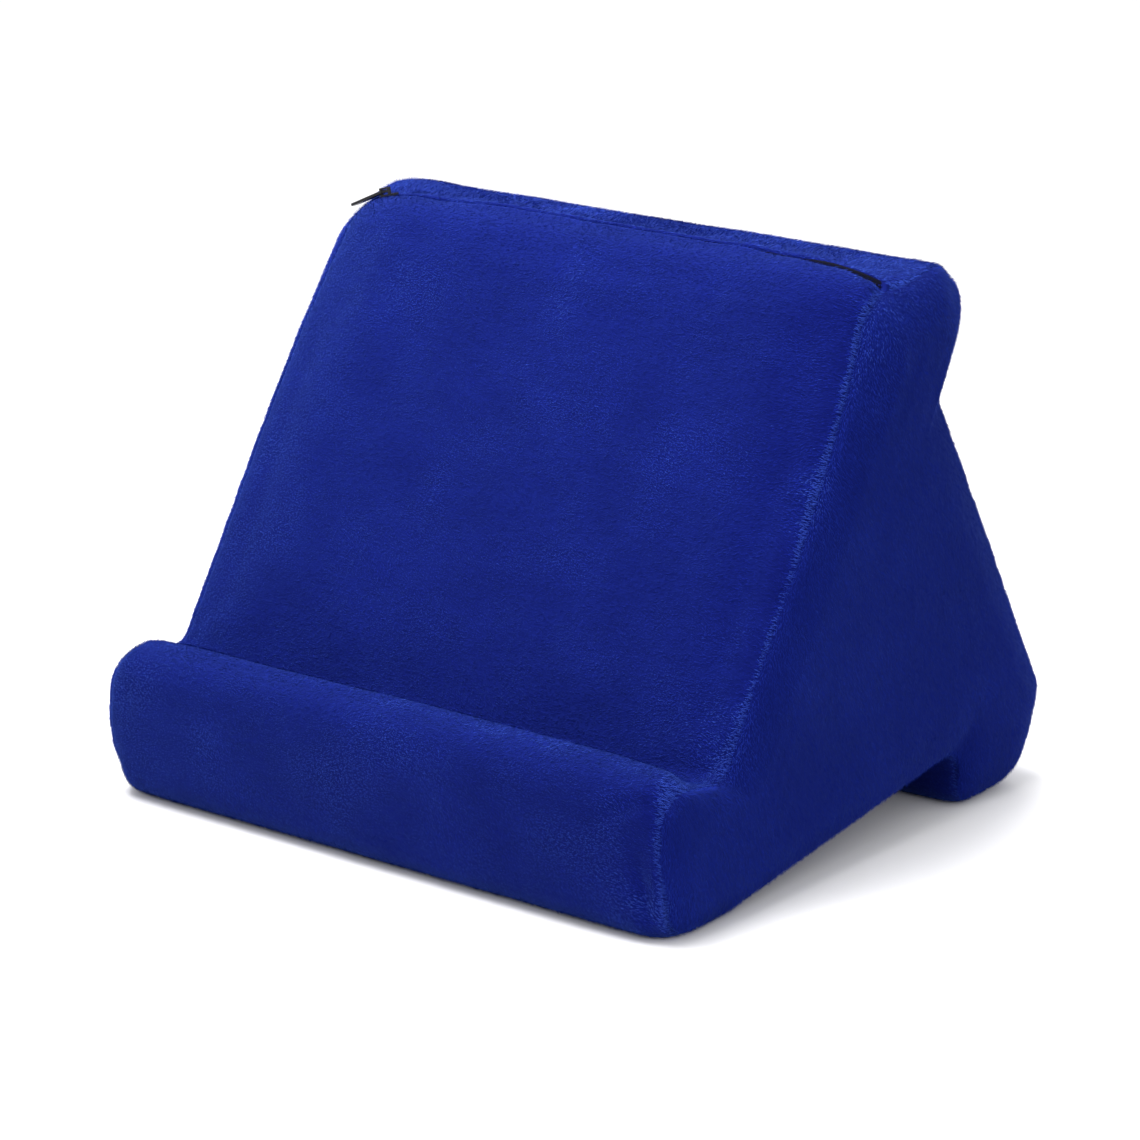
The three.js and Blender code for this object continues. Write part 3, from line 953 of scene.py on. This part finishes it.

# %% [markdown]
# ## The pile itself
#
# At this size the pile can be seen: a soft fringe along every edge, and fine marks where
# the tips part. Each tuft is one slim triangle, rooted in the cloth and combed over to
# one side. They are spread evenly by area, and smooth random numbers swirl them a little,
# as a hand does. Four plain blues, chosen by the same numbers, give the brushed patches,
# and the paler ones are also painted highlight along the seams, beside the zip, round the
# gutter's ends and on the turned edges.

# %% Comb the pile
TUFTS_PER_MM2 = 2.3
LENGTH, WIDTH = 1.7, 0.24
LIFT = 27.0  # degrees above the cloth
BLUE_STEPS = (-0.4, 0.35, 1.1)  # the brightness at which the next blue begins
CLEAR = 0.02  # a tuft that would reach lower than this above the table is left out


def crossed_sides(points, triangles):
    """For each triangle a vector square to it, as long as twice its area."""
    corners = points[triangles]
    return np.cross(corners[:, 1] - corners[:, 0], corners[:, 2] - corners[:, 0])


def scatter(points, normals, facts, triangles, count, random):
    """Roots spread evenly by area over triangles, and the cloth's direction and facts at
    each."""
    share = np.cumsum(np.linalg.norm(crossed_sides(points, triangles), axis=1))
    at = (np.arange(count) + random.random(count)) / count * share[-1]
    pick = np.searchsorted(share, at).clip(0, len(triangles) - 1)
    u, v = random.random((2, count))
    over = u + v > 1
    u, v = np.where(over, 1 - u, u), np.where(over, 1 - v, v)
    weight = np.stack([1 - u - v, u, v], 1)[..., None]
    chosen = triangles[pick]
    roots, ways, known = ((values[chosen] * weight).sum(1) for values in (points, normals, facts))
    return roots, unit(ways), known


def turned(vectors, axes, angles):
    """Vectors square to their axes, turned about them by angles in radians."""
    return vectors * np.cos(angles)[:, None] + np.cross(axes, vectors) * np.sin(angles)[:, None]


def tufts(roots, normals, combed, rim, bright, random):
    """Three corners for each tuft, and a number that says how bright it is. Rim is 1 at a
    seam, where the cloth turns over and the pile stands up; bright is painted highlight,
    added to the number that comes from the brushed patches."""
    count = len(roots)
    along = unit(combed - normals * (normals * combed).sum(1, keepdims=True))
    swirl = 0.32 * soft_noise(roots, 34, 11) + 0.26 * soft_noise(roots, 9, 12)
    along = turned(along, normals, swirl * (1 - rim) + random.normal(0, 0.18, count))
    patch = soft_noise(roots, 17, 13)
    lift = np.radians(LIFT + 5 * patch + 4 * soft_noise(roots, 5, 14) + 17 * rim)
    lift = np.clip(lift + random.normal(0, 0.08, count), 0.12, 1.2)[:, None]
    stem = along * np.cos(lift) + normals * np.sin(lift)
    flat = turned(unit(np.cross(stem, normals)), stem, random.normal(0, 0.3, count))
    length = LENGTH * np.clip(random.normal(1, 0.2, count), 0.5, 1.6)[:, None]
    corners = [roots - flat * WIDTH / 2, roots + flat * WIDTH / 2, roots + stem * length]
    brushed = 0.6 * patch + 0.5 * soft_noise(roots, 42, 15)
    return np.stack(corners, 1), brushed + bright + random.normal(0, 0.3, count)


def pile_piece(name, corners, shade, materials):
    """One mesh of loose tufts, each in one of four plain blues."""
    clear = corners[..., 2].min(1) > CLEAR
    corners, shade = corners[clear], shade[clear]
    count = len(corners)
    mesh = bpy.data.meshes.new(name)
    mesh.vertices.add(count * 3)
    mesh.vertices.foreach_set("co", (corners * MM).ravel())
    mesh.loops.add(count * 3)
    mesh.loops.foreach_set("vertex_index", np.arange(count * 3))
    mesh.polygons.add(count)
    mesh.polygons.foreach_set("loop_start", np.arange(0, count * 3, 3))
    for material in materials:
        mesh.materials.append(material)
    mesh.polygons.foreach_set("material_index", np.digitize(shade, BLUE_STEPS))
    mesh.update()
    made = bpy.data.objects.new(name, mesh)
    bpy.context.scene.collection.objects.link(made)
    print(name, count, "tufts")
    return made


def halves(quads):
    """Two triangles for each quad."""
    return np.concatenate([quads[:, [0, 1, 2]], quads[:, [0, 2, 3]]])


def plain_blue(name, color, sheen):
    """One blue of the pile, matt, with a sheen where it is seen along the tuft."""
    material = bpy.data.materials.new(name)
    material.use_nodes = True
    shader = material.node_tree.nodes["Principled BSDF"]
    shader.inputs["Base Color"].default_value = (*color, 1)
    shader.inputs["Roughness"].default_value = 0.9
    shader.inputs["Specular IOR Level"].default_value = 0.02
    shader.inputs["Sheen Weight"].default_value = sheen
    shader.inputs["Sheen Roughness"].default_value = 0.35
    shader.inputs["Sheen Tint"].default_value = (*SHEEN_BLUE, 1)
    return material


# The last blue of each set is painted highlight, for pile that stands up or turns over at the
# seams and edges; the brighter steps also carry painted highlight.
STRIP_BLUES = [
    plain_blue("pile deep", (0.0026, 0.0052, 0.094), 0.5),
    plain_blue("pile middle", (0.0034, 0.0070, 0.120), 0.6),
    plain_blue("pile bright", (0.0056, 0.0125, 0.180), 0.7),
    plain_blue("pile painted highlight", (0.0205, 0.0465, 0.310), 1.0),
]
PANEL_BLUES = [
    plain_blue("end pile deep", (0.0036, 0.0088, 0.118), 0.33),
    plain_blue("end pile middle", (0.0045, 0.0113, 0.144), 0.38),
    plain_blue("end pile bright", (0.0068, 0.0168, 0.192), 0.48),
    plain_blue("end pile painted highlight", (0.0170, 0.0390, 0.270), 0.6),
]


# %% Lay the pile on the strip and on the end panels
def area_of(points, triangles):
    """The whole area of some triangles."""
    return np.linalg.norm(crossed_sides(points, triangles), axis=1).sum() / 2


def point_normals(points, triangles):
    """Outward directions at the points of a surface of triangles."""
    crossed = crossed_sides(points, triangles)
    total = np.zeros_like(points)
    for corner in range(3):
        np.add.at(total, triangles[:, corner], crossed)
    return unit(total)


quads = grid_faces(len(STATIONS), len(ACROSS), True)
round_at = ALONG[STATIONS][quads[:, 0] // len(ACROSS)]
flat_points, flat_normals = strip_points.reshape(-1, 3), strip_normals.reshape(-1, 3)
grid = np.broadcast_arrays(
    SEAM - np.abs(ACROSS), from_zip(STATIONS)[:, None], ALONG[STATIONS, None]
)
strip_facts = np.stack([values.ravel() for values in grid], 1)
# Columns: name, from and to in millimetres round the foam
PILE_PARTS = [
    ("pile_front", 0, 210),
    ("pile_lip", 210, 400),
    ("pile_base", 400, 590),
    ("pile_foot", 590, 750),
    ("pile_back", 750, ROUND + 1),
]
GUTTER_AT, TOP_FRONT_AT = 234, 4  # how far round the foam
# Where the strip turns over and its tips catch the light: how far round the foam, half
# the width, how much
TOPS = [(249, 5, 0.9), (872, 9, 0.9), (893, 16, 0.75)]
COMBED_STRIP, COMBED_PANEL = np.array([1.0, 0, 0]), np.array([0.0, 0, -1])


def strip_shades(roots, inside, off, along):
    """How far the pile stands up at the end seams, and how bright it is: painted highlight
    at the end seams, beside the zip, round the gutter's ends and on the turned edges, and
    a patchy painted highlight beside the end seams."""
    corner = np.exp(-(((along - GUTTER_AT) / 24) ** 2))
    rim = np.exp(-((np.maximum(inside - 1.5, 0) / (2.4 + 6 * corner)) ** 2))
    # lips: painted highlight on the pile along the edges of the zip's seam
    lips = np.exp(-(((off - 3) / 2) ** 2))
    # A patchy painted highlight that fades away from the end seams
    patchy_seam_highlight = np.exp(-inside / 14) * (0.3 + 0.9 * soft_noise(roots, 8, 16)) * (1 - 0.6 * rim)
    tops = sum(more * np.exp(-(((along - at) / wide) ** 2)) for at, wide, more in TOPS)
    # brushed: painted highlight, the seam's bright rim made wider round the ends of the gutter
    brushed = 1.1 * corner * np.exp(-inside / 12)
    # The bright rim (1.6 * rim) and the tops are painted highlight too
    return rim, 1.6 * rim + brushed + 0.5 * lips + tops + patchy_seam_highlight


def panel_shades(inside, along, random):
    """The same for an end panel: how far its pile stands up at the rim, a painted highlight
    there, and the ruffled pile near the top seam.
    """
    rim = 0.5 * np.exp(-((np.maximum(inside - 1, 0) / 2.5) ** 2))
    from_top = (along - TOP_FRONT_AT + ROUND / 2) % ROUND - ROUND / 2
    ruffled = np.exp(-((from_top / 45) ** 2)) * np.exp(-((inside / 22) ** 2))
    # The rim's brightness is painted highlight; the ruffled pile adds random tone
    return rim, 0.9 * rim + ruffled * random.normal(0.1, 0.8, len(inside))


strip_pile, panel_pile = [], []
for name, low, high in PILE_PARTS:
    mine = halves(quads[(round_at >= low) & (round_at < high)])
    count = int(area_of(flat_points, mine) * TUFTS_PER_MM2)
    roots, normals, known = scatter(flat_points, flat_normals, strip_facts, mine, count, rng)
    inside, off, along = known.T
    grown = off > 0.3 + zip_gap(roots[:, 0]) + 1.2 * zip_opened(roots[:, 0])
    roots, normals, inside, off, along = (
        values[grown] for values in (roots, normals, inside, off, along)
    )
    rim, bright = strip_shades(roots, inside, off, along)
    corners, shade = tufts(roots, normals, COMBED_STRIP, rim, bright, rng)
    strip_pile.append(pile_piece(name, corners, shade, STRIP_BLUES))
for side, (points, quads, triangles, where) in surfaces.items():
    mine = np.concatenate([halves(quads), triangles])
    count = int(area_of(points, mine) * TUFTS_PER_MM2)
    roots, normals, known = scatter(points, point_normals(points, mine), where, mine, count, rng)
    inside, along = known.T
    rim, bright = panel_shades(inside, along, rng)
    corners, shade = tufts(roots, normals, COMBED_PANEL, rim, bright, rng)
    word = "left" if side < 0 else "right"
    panel_pile.append(pile_piece(f"pile_{word}", corners, shade, PANEL_BLUES))

# %% [markdown]
# ## The studio
#
# The photograph was lit by a white room: a broad soft light from above and in front, and
# light bounced from all sides, so there is next to no shadow.

# %% Floor, lights and world
bpy.ops.mesh.primitive_plane_add(size=60, location=(0, 0, 0))
floor = bpy.context.object
floor.name = "floor"
floor_material = bpy.data.materials.new("pale floor")
floor_material.use_nodes = True
floor_shader = floor_material.node_tree.nodes["Principled BSDF"]
floor_shader.inputs["Base Color"].default_value = (0.86, 0.86, 0.87, 1)
floor_shader.inputs["Roughness"].default_value = 0.8
floor.data.materials.append(floor_material)
floor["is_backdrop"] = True

# Columns: name, position in metres, size in metres, power in watts
LIGHTS = [
    ("overhead", (-0.15, -0.1, 0.82), 0.7, 17.0),
    ("front", (-1.1, -1.9, 1.5), 1.3, 5.0),
    ("right", (2.0, -0.4, 0.9), 1.2, 5.0),
    ("behind", (-1.0, 1.7, 1.9), 1.4, 12.0),
]
for name, at, size, power in LIGHTS:
    light = bpy.data.lights.new(name, "AREA")
    light.shape, light.size, light.energy = "SQUARE", size, power
    lamp = bpy.data.objects.new(name, light)
    toward = np.array([0, 0, 0.1]) - at
    lamp.location = at
    lamp.rotation_euler = Vector(toward).to_track_quat("-Z", "Y").to_euler()
    bpy.context.scene.collection.objects.link(lamp)
world = bpy.data.worlds.new("white room")
world.use_nodes = True
world.node_tree.nodes["Background"].inputs["Color"].default_value = (1, 1, 1, 1)
world.node_tree.nodes["Background"].inputs["Strength"].default_value = 1.0
bpy.context.scene.world = world
bpy.context.scene.view_settings.view_transform = "Standard"

# %% Hang each piece from the root, hide the measured parts it replaces, and print the size
for piece, node, finish in (
    (cushion, "cushion", "plush"),
    (panels[-1], "end_panel_left", "end_plush"),
    (panels[1], "end_panel_right", "end_plush"),
):
    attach(piece, "root")
    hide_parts(node)
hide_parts("zip_chain")
for pieces, finish in (
    (strip_pile, "plush"),
    (panel_pile, "end_plush"),
    ((coil, tape), "zip"),
):
    for piece in pieces:
        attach(piece, "root")
size = {"cad": [list(v) for v in cad_box], "visual": [list(v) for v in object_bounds()]}
print(size)
